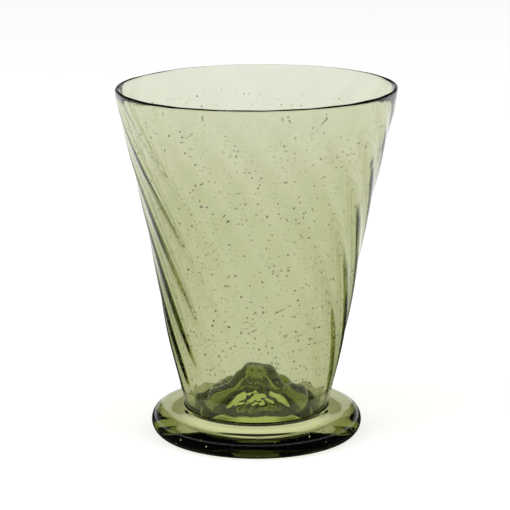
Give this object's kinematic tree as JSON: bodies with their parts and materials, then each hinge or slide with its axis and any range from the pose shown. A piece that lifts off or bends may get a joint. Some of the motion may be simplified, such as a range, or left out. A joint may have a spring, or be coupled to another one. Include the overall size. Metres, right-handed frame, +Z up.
{
  "type": "drinking glass",
  "caption": "Free-blown green glass beaker: flared bowl with twisted ribs, high pushed-in kick and a thick coil foot ring.",
  "frame": {"origin": "centre of the foot ring's resting plane, on the axis of the beaker", "axes": "+Z up along the axis from the foot to the lip, -Y towards the side seen in the picture"},
  "size_m": [0.0902, 0.0902, 0.1144],
  "materials": {
    "blown_glass": "clear pale yellow-green forest glass, fire-polished, with seeds and faint cords",
    "coil_glass": "the same glass in a thick coil, so a deeper green, smooth and slightly wavy from the tool",
    "broken_glass": "the same glass where it was broken from the iron: sharp, chipped and half clear"
  },
  "bodies": {
    "root": {"bowl": "blown_glass", "foot_ring": "coil_glass", "pontil_scar": "broken_glass"}
  },
  "joints": []
}
